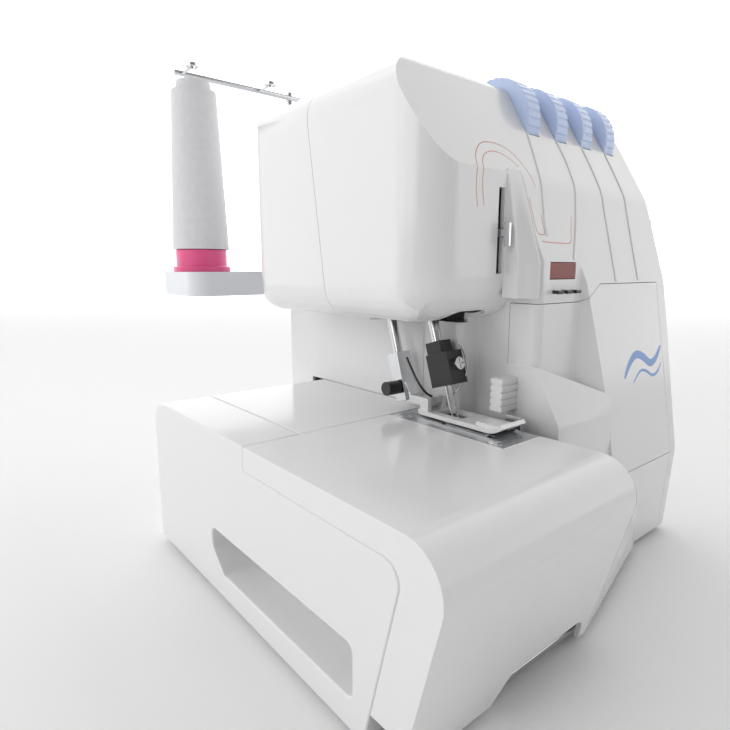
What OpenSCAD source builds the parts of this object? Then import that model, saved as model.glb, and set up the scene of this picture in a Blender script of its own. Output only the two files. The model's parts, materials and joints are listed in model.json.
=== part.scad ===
// Serger overlock machine: four-thread home machine with spool stand, front cover,
// free arm and extension table. Millimetres. X runs to the right of the person sewing,
// Y runs away from them, Z is up. The origin is the bottom centre of the overall box.

/* [Overall] */
// Width from the left end of the bed to the rim of the handwheel
overall_w = 335; // [315:1:370]
// Depth from the nose of the bed to the back of the spool stand
overall_d = 361.6; // [335:0.1:400]
// Height of the casing above the surface that the machine stands on
body_h = 289; // [275:1:340]
// Wall thickness of the moulded casings
wall = 2.5; // [1.8:0.1:3.2]
// Hairline between neighbouring casings
seam = 0.4; // [0.3:0.05:0.8]

/* [Bed] */
// Height of the sewing surface
bed_top = 98; // [92:0.5:108]
// Radius of the rounded front edge of the bed
nose_r = 18; // [12:0.5:20]
// Lean of the front of the bed below the rounded edge, in degrees
nose_lean = 14.7; // [8:0.1:18]
// Depth of the strip of the bed cover that shows on the left end
strip_h = 12; // [8:0.5:16]
// Width of that strip down the front of the left end
strip_w = 19; // [16:0.5:24]
// Length of the extension table that slides off the free arm
table_len = 33.5; // [28:0.5:40]
// Height of the rubber feet
foot_h = 3.5; // [2.5:0.5:6]
// Diameter of the rubber feet
foot_d = 18; // [14:1:22]
// Thickness of the steel base plate
base_t = 3; // [2:0.5:4]

/* [Head and column] */
// Length of the head to the left of the column wall
head_reach = 54; // [45:1:65]
// Height of the underside of the head
head_under = 155; // [150:1:165]
// Width of the handwheel side of the machine, outside the column
wheel_room = 49.5; // [40:0.5:60]
// Depth of the tray of the spool stand
stand_d = 72; // [60:1:85]

/* [Sewing parts] */
// Tilt of the needle bar, leaning towards the front at the bottom, in degrees
bar_tilt = 17.5; // [10:0.5:20]
// Diameter of the needle bar
needle_bar_d = 6.4; // [5.5:0.1:7]
// Diameter of the presser bar
presser_bar_d = 6; // [5:0.1:7]
// Clearance of a shaft in its bush, on the radius
shaft_fit = 0.05; // [0.03:0.01:0.08]
// Wall of the bronze bushes
bush_t = 2.2; // [1.5:0.1:3]
// Thickness of the needle plate
plate_t = 2.5; // [2:0.1:3]
// Width of the presser foot
foot_w = 20; // [16:0.5:21]

/* [Drive] */
// Diameter of the handwheel
handwheel_d = 72; // [60:1:84]
// Diameter of the main shaft
main_shaft_d = 10; // [8:0.5:12]
// Diameter of the belt pulley on the main shaft
big_pulley_d = 56; // [48:1:60]
// Diameter of the pulley on the motor
small_pulley_d = 16; // [12:1:20]

/* [Thread parts] */
// Diameter of the tension dials
dial_d = 54; // [46:1:56]
// Thickness of a tension dial
dial_t = 12; // [9:0.5:13]
// Distance between neighbouring tension dials
dial_pitch = 29.6; // [27:0.1:31]
// Height of the thread cone
cone_h = 117; // [90:1:122]
// Diameter of the thread cone at its foot
cone_d = 43; // [36:1:48]
// Diameter of the telescopic pole
pole_d = 9; // [7:0.5:12]

/* [Hidden] */
$fn = 64;
eps = 0.01;
gap = 0.5;                                   // between pieces of different bodies
arc_steps = 10;

left = -overall_w / 2;
right = overall_w / 2;
nose_y = -overall_d / 2;
stand_rear = overall_d / 2;
col_rear = stand_rear - stand_d;             // rear face of the column
head_rear = col_rear - 33;
table_x = left + table_len;                  // joint between table and free arm
col_right = right - wheel_room;
col_left = -41;
step_x = col_left + 16.2;                    // left wall of the recess
step_y = nose_y + 105.8;
recess_y = nose_y + 65.8;                    // front face of the recess
recess_x = 14;
main_x = 27.5;                               // left end of the main front
head_left = col_left - head_reach;
head_right = -1;                             // right end of the head, beside the first dial
head_front = nose_y + 80.8;
edge_r = 24;
ledge_drop = 28;                             // how far the ledge of the cover dips behind the bed
cover_seam_z = 174;
recess_seam_z = 164;
joint_y = nose_y + 131.2;                    // back edge of the bed cover
split_low_y = nose_y + 134.8;                // parting line of the column casings
split_mid_y = nose_y + 160.8;                // parting line of the head, at its underside
split_top_y = nose_y + 183;

lever_y = head_front + 30;                   // pivot of the take-up lever
lever_z = 214;
nose_corner = nose_y + nose_r - nose_r / tan((90 - nose_lean) / 2);
needle_x = -50;
needle_y = nose_y + 101.8;
needle_r = needle_bar_d / 2;
presser_x = -52.7;
presser_back = 31.4;                         // presser bar behind the needle bar
presser_r = presser_bar_d / 2;
plate_x0 = col_left - 31.6;
plate_x1 = col_left - 0.2;
plate_y0 = nose_y + 49.8;
plate_y1 = joint_y - 1.2;

hinge_y = nose_y + 54;                       // front cover hinge
hinge_z = foot_h + base_t + 4.5;
hinge_cut = 50;                              // radius of the joint below the front cover
pin_r = 1.5;
swing_x = left + 7;                          // hinge of the bed cover, low on its left
swing_z = foot_h + base_t + 4;
swing_y0 = bed_front(wall, foot_h) + 0.6;    // front end of its knuckle
slot_x = -40.6;                              // take-up lever and its slot
window_x0 = -16;
window_x1 = 9.4;
window_z = recess_seam_z + 13;

dial_y = nose_y + 123;
dial_z = body_h - 21;
dial_x0 = 7;
dial_shaft_r = 3;
shaft_y = 12;
shaft_z = 92;
motor_y = 62;
motor_z = 34;
belt_x = 96;
tray_z = body_h - 126.6;
tray_h = 18.1;
tray_x0 = left + 45;
tray_x1 = right - 47;
pin_pitch = 67;
cone_x = -1.5 * pin_pitch;
cone_y = col_rear + 36.2;
pole_y = stand_rear - 11;
tree_z = body_h + 45;
mount_z = foot_h + base_t;

// Outlines

function unit(v) = v / norm(v);
function turn(a) = a > 180 ? a - 360 : (a < -180 ? a + 360 : a);

// Arc of radius r that rounds the corner at b between a and c
function rounded_corner(a, b, c, r) = r <= 0 ? [b] :
    let (u = unit(a - b), v = unit(c - b), half = acos(u * v) / 2,
         m = b + unit(u + v) * r / sin(half),
         s = b + u * r / tan(half) - m, e = b + v * r / tan(half) - m,
         from = atan2(s[1], s[0]), sweep = turn(atan2(e[1], e[0]) - from))
    [for (i = [0 : arc_steps]) m + r * [cos(from + sweep * i / arc_steps),
                                        sin(from + sweep * i / arc_steps)]];

// Outline whose corners are given as [x, y, radius]
function rounded(p) = [for (i = [0 : len(p) - 1])
    let (n = len(p), a = p[(i + n - 1) % n], b = p[i], c = p[(i + 1) % n])
    each rounded_corner([a[0], a[1]], [b[0], b[1]], [c[0], c[1]], b[2])];

function box_outline(x0, y0, x1, y1, r) =
    rounded([[x0, y0, r], [x1, y0, r], [x1, y1, r], [x0, y1, r]]);

// Extrusions of an outline along X, from an outline in Y and Z, and along Y, from X and Z
module along_x(x0, x1) { translate([x0, 0, 0]) rotate([90, 0, 90]) linear_extrude(x1 - x0) children(); }
module along_y(y0, y1) { translate([0, y1, 0]) rotate([90, 0, 0]) linear_extrude(y1 - y0) children(); }
module block(a, b) { translate(a) cube(b - a); }
module rod_x(x0, x1, y, z, r) { translate([x0, y, z]) rotate([0, 90, 0]) cylinder(h = x1 - x0, r = r); }
module rod_y(y0, y1, x, z, r) { translate([x, y0, z]) rotate([-90, 0, 0]) cylinder(h = y1 - y0, r = r); }
module rod_z(z0, z1, x, y, r) { translate([x, y, z0]) cylinder(h = z1 - z0, r = r); }

// Frame of the needle bar: origin where its axis meets the bed, Z up along the bar
module on_bar() { translate([needle_x, needle_y, bed_top]) rotate([-bar_tilt, 0, 0]) children(); }
module on_presser_bar() { on_bar() translate([presser_x - needle_x, presser_back, 0]) children(); }

// Section of the bed, pulled in by i on its top, front and back, and by more at the front
function bed_front(i, z) = nose_corner + i / cos(nose_lean) + (bed_top - z) * tan(nose_lean);
function bed_pts(i, bottom, more = 0) = rounded([[bed_front(i, bottom) + more, bottom, 0],
    [bed_front(i, bed_top - i) + more, bed_top - i, max(nose_r - i, 8)],
    [head_rear - i, bed_top - i, max(16 - i, 2)], [head_rear - i, bottom, 0]]);

// Side view of the column, pulled in by i
function side_pts(i, bottom) = rounded([[nose_y + 46.8 + i, bottom, 0],
    [nose_y + 43 + i, 0.21 * body_h, 20], [nose_y + 62.3 + i, 0.602 * body_h, 30],
    [nose_y + 79 + i, 0.792 * body_h, 40], [nose_y + 114 + i, body_h - i, 12],
    [head_rear - 14 - i, body_h - i, 18], [col_rear - i, 0.571 * body_h, 24],
    [col_rear - i, bottom, 0]]);

module bed_section(i, bottom = foot_h) { polygon(bed_pts(i, bottom)); }
module strip_section(i, bottom = foot_h) { polygon(bed_pts(strip_h + i, bottom, strip_w - strip_h)); }
module side_section(i, bottom = foot_h) { polygon(side_pts(i, bottom)); }

// Solid of the column, pulled in by i
module column_block(i, bottom = foot_h) {
    intersection() {
        along_x(col_left + i, col_right - i) side_section(i, bottom);
        translate([0, 0, bottom]) linear_extrude(body_h)
            polygon(rounded([[col_left + i, col_rear - i, 0], [col_left + i, step_y + i, 4],
                [step_x + i, step_y + i, 2], [step_x + i, recess_y + i, 6],
                [recess_x + i, recess_y + i, 4], [main_x + i, recess_y - 16 + i, 6],
                [main_x + i, nose_y, 0], [col_right - 14 - i, nose_y, 0],
                [col_right - i, nose_y + 62, 20], [col_right - i, col_rear - i, max(12 - i, 2)]]));
        along_y(nose_y, stand_rear) polygon(rounded([[left, 0, 0], [left, body_h - i, 0],
            [col_right - i, body_h - i, edge_r], [col_right - i, 0, 0]]));
    }
}

// Solid of the head, pulled in by i
module head_block(i) {
    intersection() {
        along_x(head_left + i, head_right - i) polygon(box_outline(head_front + i, head_under + i,
            head_rear - i, body_h - i, edge_r - i));
        along_x(head_left, head_right) side_section(i, 0);
        along_y(nose_y, stand_rear) polygon(rounded([[head_right, head_under + i, 0],
            [head_right, body_h - i, 0], [head_left + i, body_h - i, edge_r],
            [head_left + i, head_under + i, 16]]));
        translate([0, 0, head_under]) linear_extrude(body_h)
            polygon(rounded([[head_right, head_front + i, 0], [head_right, head_rear - i, 0],
                [head_left + i, head_rear - i, edge_r], [head_left + i, head_front + i, edge_r]]));
    }
}

// Lower left part of the front cover, where the bed runs into the column
module bulge_block(i) {
    near = col_left + (i > 0 ? -1 : seam / 2);
    depth = 84 + i;
    hull() {
        along_x(near, near + eps) intersection() {
            polygon(bed_pts(i, foot_h - i));
            translate([nose_y, 0]) square([depth, bed_top]);
        }
        along_x(64 - i, 64 - i + eps) translate([nose_y + 44 + i, foot_h - i])
            square([depth - 44 - i, 38]);
    }
    hull() {
        translate([0, 0, bed_top - i - ledge_drop]) linear_extrude(ledge_drop) polygon([
            [col_left + seam / 2 + i, nose_y + 84], [col_left + seam / 2 + i, nose_y + 50 + i],
            [main_x, nose_y + 47 + i], [main_x, nose_y + 84]]);
        along_y(recess_y + i, nose_y + 84) polygon([[step_x + i, bed_top + 32 - i],
            [step_x + i, bed_top + 31 - i], [recess_x + i, bed_top + 17 - i],
            [recess_x + i, bed_top + 18 - i]]);
        along_y(nose_y + 50 + i, nose_y + 84) polygon([[main_x - 1, bed_top + 12 - i],
            [main_x, bed_top + 12 - i], [main_x, bed_top]]);
    }
}

// Outer skin of column, head and front cover together: a shell one wall thick
module machine_shell() {
    difference() {
        union() { column_block(0); head_block(0); }
        union() { column_block(wall, foot_h - 1); head_block(wall); }
    }
}

// Side view of what belongs to the front cover, and of the casings' parting line
module cover_zone() {
    along_y(nose_y - 1, nose_y + 84) polygon([[step_x - 1, bed_top - 10],
        [step_x - 1, recess_seam_z - seam], [recess_x, recess_seam_z - seam],
        [main_x + 4, cover_seam_z - seam], [col_right - 12, cover_seam_z - seam],
        [col_right - 12, foot_h - 1], [col_left, foot_h - 1], [col_left, bed_top - 10]]);
}
module front_zone(grow = 0) {
    along_x(left - 1, right) polygon([[nose_y - 1, foot_h - 1], [split_low_y + grow, foot_h - 1],
        [split_low_y + grow, head_under - 2], [split_mid_y + grow, head_under - 2],
        [split_top_y + grow, body_h + 1], [nose_y - 1, body_h + 1]]);
}
module hinge_drum(r) { rod_x(col_left - 1, col_right + 1, hinge_y, hinge_z, r); }

// Base and feet

foot_places = [[table_x + 16, nose_y + 44], [table_x + 16, head_rear - 18],
    [col_right - 20, nose_y + 68], [col_right - 20, col_rear - 18]];

module base_plate() color("silver") {
    x1 = col_right - wall - gap;
    front = bed_front(wall + 1, foot_h);
    translate([0, 0, foot_h]) linear_extrude(base_t) polygon([
        [table_x + wall + gap, swing_y0 + 6.4], [swing_x - 3, swing_y0 + 6.4],
        [swing_x - 3, front], [col_left - 2, front],
        [40, nose_y + 51], [x1 - 14, nose_y + 51], [x1, nose_y + 68],
        [x1, col_rear - 14], [x1 - 12, col_rear - wall - gap],
        [col_left + wall + gap, col_rear - wall - gap],
        [col_left + wall + gap, head_rear - wall - gap],
        [table_x + wall + gap, head_rear - wall - gap]]);
}

module rubber_feet() color("dimgray") {
    for (p = foot_places) rod_z(0, foot_h, p[0], p[1], foot_d / 2);
}

// Casings

bar_opening = [[needle_x - 17, head_front + 9], [needle_x + 15, split_mid_y + 14]];

module bar_hole() {
    translate([0, 0, head_under - 3]) linear_extrude(wall + 6)
        polygon(box_outline(bar_opening[0][0], bar_opening[0][1], bar_opening[1][0],
            bar_opening[1][1], 8));
}

module dial_slots() {
    for (k = [0 : 3]) rod_x(dial_x0 + k * dial_pitch - dial_t / 2 - gap,
        dial_x0 + k * dial_pitch + dial_t / 2 + gap, dial_y, dial_z, dial_d / 2 + 1);
}

handle = [[-10, head_rear - 26, body_h - 70], [78, head_rear - 26, body_h - 46]];

module rear_casing() color("whitesmoke") {
    difference() {
        union() {
            difference() { machine_shell(); front_zone(seam / 2); }
            block([handle[0][0] - wall, head_rear - 28, handle[0][2] - wall],
                  [handle[1][0] + wall, head_rear + 1, handle[1][2] + wall]);
        }
        block([handle[0][0], head_rear - 28 + wall, handle[0][2]],
              [handle[1][0], stand_rear, handle[1][2]]);
        bar_hole();
        rod_x(col_right - 20, col_right + 2, shaft_y, shaft_z, main_shaft_d / 2 + 4);
        block([col_right - 20, motor_y - 12.3, motor_z - 20.3],
              [col_right + 2, motor_y + 12.3, motor_z + 16.3]);
        block([col_right - 20, motor_y - 9.3, motor_z + 21.7],
              [col_right + 2, motor_y + 9.3, motor_z + 36.3]);
        rod_x(col_right - 20, col_right + 2, shaft_y + 4, motor_z, 8.5);
        block([presser_x - 10, head_rear - 8, head_under + 22],
              [presser_x + 10, head_rear + 2, head_under + 74]);
        block([col_left - 1, nose_y, 0], [col_left + wall + 2, head_rear + 2, bed_top]);
    }
}

module front_casing() color("white") {
    difference() {
        intersection() { machine_shell(); front_zone(-seam / 2); }
        intersection() {
            along_y(nose_y - 1, nose_y + 84.3) polygon([[step_x - 2, bed_top - 20],
                [step_x - 2, recess_seam_z], [recess_x, recess_seam_z],
                [main_x + 4, cover_seam_z], [col_right - 12 + seam, cover_seam_z],
                [col_right - 12 + seam, foot_h - 2], [col_left - 1, foot_h - 2],
                [col_left - 1, bed_top - 20]]);
            block([col_left - 1, nose_y - 1, 0], [col_right, nose_y + 84.3, body_h]);
        }
        block([col_left - 1, nose_y - 1, 0], [col_left + wall + 3, split_low_y + 1, bed_top]);
        block([col_left - 1, nose_y - 1, 0], [step_x + wall + 1, step_y + wall + 1, bed_top - 4]);
        bar_hole();
        dial_slots();
        rod_x(col_right - 20, col_right + 2, nose_y + 84, 0.74 * body_h, 6);
        block([slot_x - 2.5, head_front - 1, lever_z - 34],
              [slot_x + 2.5, head_front + wall + 1, lever_z + 10]);
        block([window_x0 - gap / 2, recess_y - 1, window_z - gap / 2],
              [window_x1 + gap / 2, recess_y + wall + 1, window_z + 9 + gap / 2]);
    }
}

arch = [[table_x + 16, col_left - 5], 17];

module bed_cover() color("white") {
    x1 = col_left - seam / 2;
    difference() {
        union() {
            along_x(left, x1) difference() { bed_section(0); bed_section(wall, foot_h - 1); }
            difference() {
                along_x(left, left + wall) difference() { bed_section(0); strip_section(0, foot_h - 1); }
                rod_y(swing_y0 - 0.4, nose_y + 60, swing_x, swing_z, 11);
            }
            rod_y(swing_y0, swing_y0 + 3.4, swing_x, swing_z, 3.2);
            block([swing_x - 1.5, swing_y0, swing_z], [swing_x + 1.5, swing_y0 + 3.4, swing_z + 13]);
            block([left + 1, swing_y0, swing_z + 11], [swing_x + 1.5, swing_y0 + 3.4, swing_z + 14]);
        }
        block([left - 1, joint_y, 0], [x1 + 1, stand_rear, bed_top + 1]);
        block([plate_x0 - seam, plate_y0 - seam, bed_top - wall - 5], [x1 + 1, joint_y + 1, bed_top + 1]);
        along_y(nose_y - 1, nose_y + 60) polygon(rounded([[arch[0][0], 0, 0],
            [arch[0][0] + 12, arch[1], 8], [arch[0][1] - 4, arch[1], 8], [arch[0][1], 0, 0]]));
        rod_y(swing_y0 - 1, swing_y0 + 4, swing_x, swing_z, pin_r + shaft_fit);
    }
}

module bed_cover_hinge_pin() color("silver") {
    rod_y(swing_y0 + 0.2, swing_y0 + 6.4, swing_x, swing_z, pin_r);
    difference() {
        block([swing_x - 3, swing_y0 + 4, mount_z], [swing_x + 3, swing_y0 + 6.2, swing_z + 3]);
        rod_y(swing_y0, swing_y0 + 9, swing_x, swing_z, pin_r);
    }
}

module free_arm() color("white") {
    difference() {
        union() {
            along_x(table_x + seam / 2, col_left - seam / 2) difference() {
                bed_section(0);
                bed_section(wall, foot_h - 1);
            }
            along_x(table_x + seam / 2, table_x + wall) bed_section(wall / 2);
        }
        block([left, nose_y - 1, 0], [right, joint_y + seam, bed_top + 1]);
    }
    along_x(table_x + seam / 2, table_x + wall) intersection() {
        strip_section(seam);
        translate([nose_y, 0]) square([joint_y + seam - nose_y + eps, bed_top]);
    }
}

slot = [[nose_y + 46, 17.4], [nose_y + 172.8, 41]];
slot_depth = 24;

slot_pts = rounded([[slot[0][0], slot[0][1], 4], [slot[1][0] - 14, slot[0][1], 4],
    [slot[1][0], slot[0][1] + 12, 6], [slot[1][0], slot[1][1], 4], [slot[0][0], slot[1][1], 4]]);

// Section of the table: full height behind the bed cover, lower under the cover's strip
module table_section(i, bottom) {
    intersection() { bed_section(i, bottom); translate([joint_y + seam, 0]) square([200, 200]); }
    strip_section(seam + i, bottom);
}

module extension_table() color("white") {
    difference() {
        union() {
            difference() {
                along_x(left, table_x - seam / 2) table_section(0, foot_h);
                along_x(left + wall, table_x + 1) table_section(wall, foot_h + wall);
            }
            along_x(left, left + slot_depth + wall) offset(r = wall) polygon(slot_pts);
        }
        along_x(left - 1, left + slot_depth) polygon(slot_pts);
    }
}

module front_skirt() color("white") {
    intersection() {
        difference() {
            union() { column_block(0); bulge_block(0); }
            union() { column_block(wall, foot_h - 1); bulge_block(wall); }
            block([col_left - 2, step_y - 20, 0], [right, stand_rear, body_h]);
        }
        hinge_drum(hinge_cut - gap);
        block([col_left + seam / 2, nose_y - 1, foot_h], [col_right - 12, nose_y + 84, body_h]);
    }
}

module front_cover() color("white") {
    difference() {
        intersection() {
            union() {
                difference() {
                    union() { column_block(0); bulge_block(0); }
                    union() { column_block(wall, foot_h - 1); bulge_block(wall); }
                }
                intersection() {
                    bulge_block(0);
                    block([step_x - 1, nose_y, bed_top - 46], [step_x + 1.2, nose_y + 84, body_h]);
                }
            }
            cover_zone();
        }
        hinge_drum(hinge_cut);
        block([col_left - 2, recess_y + 10, 0], [step_x - 0.5, step_y + 40, bed_top - 1]);
        block([col_left - 2, nose_y + 62, bed_top - 46], [step_x - 1, nose_y + 84.5, bed_top + 12]);
    }
    grip();
    for (x = [48, 92]) goose_neck(x);
}

// Ribbed block for the thumb, on the left wall of the recess
module grip() {
    block([col_left + 5, nose_y + 82, bed_top + 7], [step_x + 2, nose_y + 83.8, bed_top + 25]);
    for (k = [0 : 4]) block([col_left + 1, nose_y + 76, bed_top + 7 + k * 3.85],
        [step_x + 2, nose_y + 83.8, bed_top + 9.6 + k * 3.85]);
}

// Arm from the hinge pin round behind the joint to the inside of the cover
module goose_neck(x) {
    difference() {
        union() {
            rod_x(x, x + 6, hinge_y, hinge_z, 4);
            along_x(x, x + 6) translate([hinge_y, hinge_z]) {
                polygon(concat([for (a = [40 : 6 : 100]) (hinge_cut + 1) * [cos(a), sin(a)]],
                    [for (a = [100 : -6 : 40]) (hinge_cut + 5) * [cos(a), sin(a)]]));
                rotate(41) translate([0, -2]) square([hinge_cut + 4, 4]);
            }
        }
        rod_x(x - 1, x + 7, hinge_y, hinge_z, pin_r + shaft_fit);
    }
}

module front_cover_hinge_pin() color("silver") {
    rod_x(42, 104, hinge_y, hinge_z, pin_r);
    for (x = [43, 99]) difference() {
        block([x, hinge_y - 3, mount_z], [x + 3, hinge_y + 3, hinge_z + 3]);
        rod_x(x - 1, x + 4, hinge_y, hinge_z, pin_r);
    }
}

module needle_plate() color("lightgray") {
    z0 = bed_top - plate_t;
    difference() {
        block([plate_x0, plate_y0, z0], [plate_x1, plate_y1, bed_top]);
        block([needle_x - 6, needle_y - 10, z0 - 1], [needle_x + 5.5, needle_y + 8, bed_top + 1]);
        for (x = feed_x) block([x - 2, feed_y0 - 3.2, z0 - 1], [x + 2, feed_y1 + 3.2, bed_top + 1]);
        for (p = plate_screw_places) {
            rod_z(z0 - 1, bed_top + 1, p[0], p[1], 2.1);
            rod_z(bed_top - 1.2, bed_top + 1, p[0], p[1], 3.6);
        }
    }
}

feed_x = [needle_x - 11.4, needle_x + 7.2];
feed_y0 = needle_y - 34;
feed_y1 = needle_y - 6;
plate_screw_places = [[plate_x0 + 4.4, plate_y1 - 8], [plate_x0 + 4.4, plate_y0 + 8]];

module needle_plate_screws() color("silver") {
    for (p = plate_screw_places) difference() {
        union() {
            rod_z(bed_top - 1.2, bed_top - 0.1, p[0], p[1], 3.5);
            rod_z(bed_top - 8, bed_top - 1.2, p[0], p[1], 2);
        }
        block([p[0] - 3, p[1] - 0.4, bed_top - 0.7], [p[0] + 3, p[1] + 0.4, bed_top + 1]);
    }
}

// Frame

arm_z = body_h - 44;
boss_low = [69, 91];                        // lower guide of the bars, along the bar
boss_high = [118, 140];

module frame_casting() color("silver") {
    difference() {
        union() {
            block([-30, shaft_y - 16, mount_z], [88, shaft_y + 16, mount_z + 6]);
            block([14, shaft_y - 12, mount_z], [30, shaft_y + 12, arm_z]);
            block([60, shaft_y - 12, mount_z], [74, shaft_y + 12, shaft_z + 14]);
            block([needle_x - 12, shaft_y - 12, arm_z - 16], [col_right - 16, shaft_y + 12, arm_z]);
            block([table_x + 8, shaft_y - 16, mount_z], [-30, shaft_y + 4, mount_z + 5]);
            block([plate_x0 + 1, joint_y - 1, mount_z],
                  [plate_x0 + 8, shaft_y - 12, bed_top - plate_t - 8]);
            block([plate_x0 + 1, plate_y0 + 2, bed_top - plate_t - 8],
                  [plate_x0 + 8, joint_y + 2, bed_top - plate_t]);
            on_bar() for (b = [boss_low, boss_high])
                block([-10, -9, b[0]], [9, presser_back + 12, b[1]]);
            on_bar() block([-10, presser_back + 7.5, boss_low[0]], [9, presser_back + 12, 182]);
            block([slot_x + 7, lever_y - 4, lever_z - 4], [slot_x + 11, shaft_y, lever_z + 4]);
            block([slot_x + 7, shaft_y - 12, lever_z - 4], [slot_x + 11, shaft_y, arm_z - 8]);
            rod_x(slot_x - 5, slot_x + 8, lever_y, lever_z, 3);
            block([dial_x0 - dial_t, dial_y + 5, arm_z - 10],
                  [dial_x0 - dial_t + 4, shaft_y, arm_z]);
            block([dial_x0 - dial_t, dial_y - 4, arm_z - 10],
                  [dial_x0 - dial_t + 4, dial_y + 5, dial_z + 6]);
        }
        on_bar() translate([0, 0, 40]) cylinder(h = 120, r = needle_r + shaft_fit + bush_t);
        on_presser_bar() translate([0, 0, 40]) cylinder(h = 130, r = presser_r + shaft_fit + bush_t);
        rod_x(0, col_right, shaft_y, shaft_z, main_shaft_d / 2 + shaft_fit + bush_t);
        rod_x(dial_x0 - 20, col_right, dial_y, dial_z, dial_shaft_r);
        for (p = plate_screw_places) rod_z(bed_top - 12, bed_top, p[0], p[1], 2);
    }
}

// Plain bush of length h for a shaft of radius r
module bush(h, r) {
    difference() {
        cylinder(h = h, r = r + shaft_fit + bush_t);
        translate([0, 0, -1]) cylinder(h = h + 2, r = r + shaft_fit);
    }
}

module shaft_bearings() color("goldenrod") {
    for (x = [14, 60]) translate([x, shaft_y, shaft_z]) rotate([0, 90, 0])
        bush(x == 14 ? 16 : 14, main_shaft_d / 2);
}
module needle_bar_bushes() color("goldenrod") on_bar()
    for (b = [boss_low, boss_high]) translate([0, 0, b[0]]) bush(b[1] - b[0], needle_r);
module presser_bar_bushes() color("goldenrod") on_presser_bar()
    for (b = [boss_low, boss_high]) translate([0, 0, b[0]]) bush(b[1] - b[0], presser_r);

// Drive

module main_shaft() color("silver") {
    rod_x(4, col_right + 12, shaft_y, shaft_z, main_shaft_d / 2);
    rod_x(32, 40, shaft_y, shaft_z, main_shaft_d / 2 + 5);
}

module handwheel() color("whitesmoke") {
    x0 = col_right + 4;
    difference() {
        union() {
            rod_x(x0, x0 + 20, shaft_y, shaft_z, handwheel_d / 2 - 6);
            rod_x(x0 + 8, right - 6, shaft_y, shaft_z, handwheel_d / 2);
            rod_x(right - 6, right, shaft_y, shaft_z, handwheel_d / 2 - 5);
        }
        rod_x(x0 - 1, col_right + 12, shaft_y, shaft_z, main_shaft_d / 2);
        for (k = [0 : 23]) translate([0, shaft_y, shaft_z]) rotate([k * 15, 0, 0])
            rod_x(x0 + 12, right - 8, 0, handwheel_d / 2 + 1.4, 2.4);
    }
}

module shaft_pulley() color("dimgray") {
    difference() {
        union() {
            rod_x(belt_x, belt_x + 9, shaft_y, shaft_z, big_pulley_d / 2 - 2);
            for (x = [belt_x - 2, belt_x + 9]) rod_x(x, x + 2, shaft_y, shaft_z, big_pulley_d / 2 + 1);
        }
        rod_x(belt_x - 3, belt_x + 12, shaft_y, shaft_z, main_shaft_d / 2);
    }
}

// Belt around both pulleys: two bands on straight tangents, one closed loop
module belt_outline(grow) {
    hull() {
        translate([shaft_y, shaft_z]) circle(r = big_pulley_d / 2 - 2 + gap + grow, $fn = 48);
        translate([motor_y, motor_z]) circle(r = small_pulley_d / 2 + gap + grow, $fn = 32);
    }
}
module drive_belt() color("black") along_x(belt_x + 1.5, belt_x + 7.5)
    difference() { belt_outline(2); belt_outline(0); }

module motor() color("gray") {
    rod_x(22, 86, motor_y, motor_z, 25);
    rod_x(86, 91, motor_y, motor_z, 10);
    block([26, motor_y - 20, mount_z], [80, motor_y + 20, mount_z + 8]);
}

module motor_pulley() color("dimgray") {
    rod_x(92, belt_x + 8, motor_y, motor_z, small_pulley_d / 2);
}

// Needle bar group

module needle_bar() color("silver") on_bar() translate([0, 0, 43]) cylinder(h = 108, r = needle_r);

clamp_z = [19, 45];
needle_dx = 2.2;
needle_off = -2;
module needle_clamp() color("black") on_bar() difference() {
    union() {
        translate([-6.5, -11, clamp_z[0]]) cube([13, 16, clamp_z[1] - clamp_z[0] - 7]);
        translate([-4.8, -6, clamp_z[1] - 8]) cube([9.6, 11, 8]);
    }
    translate([0, 0, 43]) cylinder(h = 10, r = needle_r);
    for (s = [-1, 1]) translate([s * needle_dx, needle_off, clamp_z[0] - 1])
        cylinder(h = 12, r = 1, $fn = 24);
    translate([0, -12, 30]) rotate([-90, 0, 0]) cylinder(h = 5, r = 2, $fn = 32);
}
module clamp_screws() color("silver") on_bar() {
    translate([0, -12.5, 30]) rotate([-90, 0, 0]) cylinder(h = 5.4, r = 2, $fn = 32);
    translate([0, -14, 30]) rotate([-90, 0, 0]) difference() {
        cylinder(h = 2.9, r = 3.6, $fn = 40);
        translate([-3, -0.4, -1]) cube([6, 0.8, 1.8]);
        translate([-0.4, -3, -1]) cube([0.8, 6, 1.8]);
    }
}
module needles() color("silver") on_bar() for (s = [-1, 1]) translate([s * needle_dx, needle_off, 0]) {
    translate([0, 0, 6]) cylinder(h = 23, r = 1, $fn = 24);
    translate([0, 0, -8]) cylinder(h = 14, r = 0.6, $fn = 24);
    translate([0, 0, -12]) cylinder(h = 4, r1 = 0.15, r2 = 0.6, $fn = 24);
}

module take_up_lever() color("silver") {
    difference() {
        union() {
            rod_x(slot_x - 4, slot_x + 6, lever_y, lever_z, 6);
            block([slot_x - 1, head_front - 4, lever_z - 15], [slot_x + 1, lever_y, lever_z - 11]);
            block([slot_x - 1, lever_y - 3, lever_z - 15], [slot_x + 1, lever_y + 3, lever_z]);
            block([slot_x - 1, head_front - 6, lever_z - 20], [slot_x + 1, head_front - 3, lever_z - 8]);
        }
        rod_x(slot_x - 5, slot_x + 7, lever_y, lever_z, 3 + shaft_fit);
    }
}

// Presser

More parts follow.
